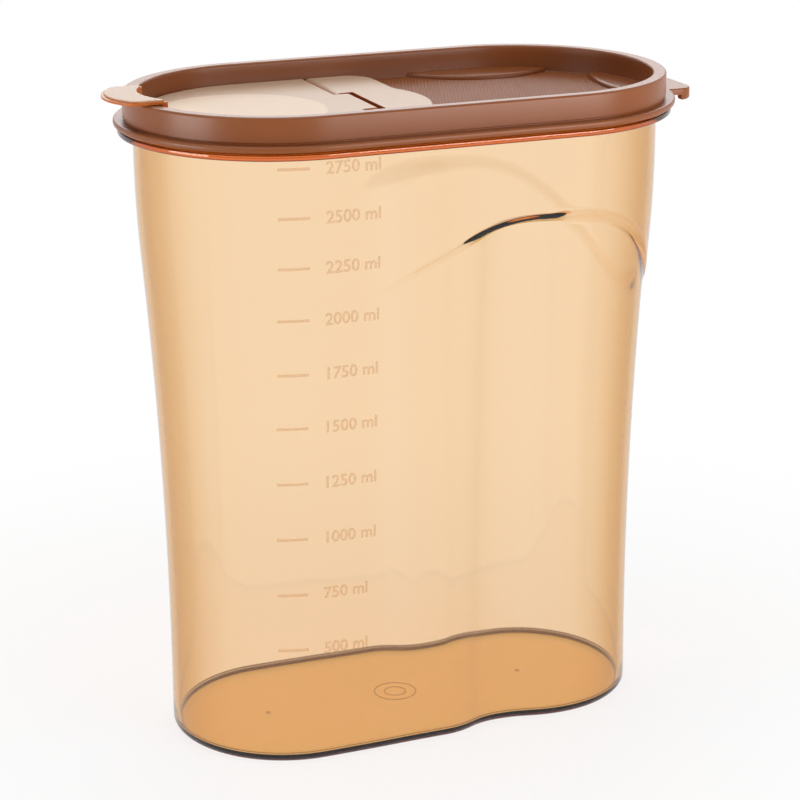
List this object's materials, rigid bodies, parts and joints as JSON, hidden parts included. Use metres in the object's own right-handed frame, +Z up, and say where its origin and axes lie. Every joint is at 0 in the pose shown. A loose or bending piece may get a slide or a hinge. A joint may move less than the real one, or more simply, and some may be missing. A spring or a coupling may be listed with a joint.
{
  "type": "storage box",
  "caption": "Tall see-through dry-food box with a drawn-in grip waist, a press-on lid with a sunk deck, and a hinged pour flap with a finger tab.",
  "frame": {"origin": "middle of the base, on the surface that the box stands on", "axes": "+Z up, +X along the box away from the flap's finger tab, +Y across the box"},
  "size_m": [0.2114, 0.1098, 0.2307],
  "materials": {
    "amber_clear": "clear amber tint, polished",
    "brown_satin": "satin",
    "peach_translucent": "milky translucent, smooth"
  },
  "bodies": {
    "container": {"container": "amber_clear"},
    "lid": {"lid": "brown_satin", "hinge_plate": "peach_translucent"},
    "flap": {"pour_flap": "peach_translucent"}
  },
  "joints": [
    {"name": "lid_lift", "type": "slide", "parent": "container", "child": "lid", "axis": [0, 0, 1], "range_m": [0, 0.06]},
    {"name": "flap_hinge", "type": "hinge", "parent": "lid", "child": "flap", "pos_m": [-0.01525, 0, 0.21995], "axis": [0, 1, 0], "range_deg": [0, 100]}
  ]
}
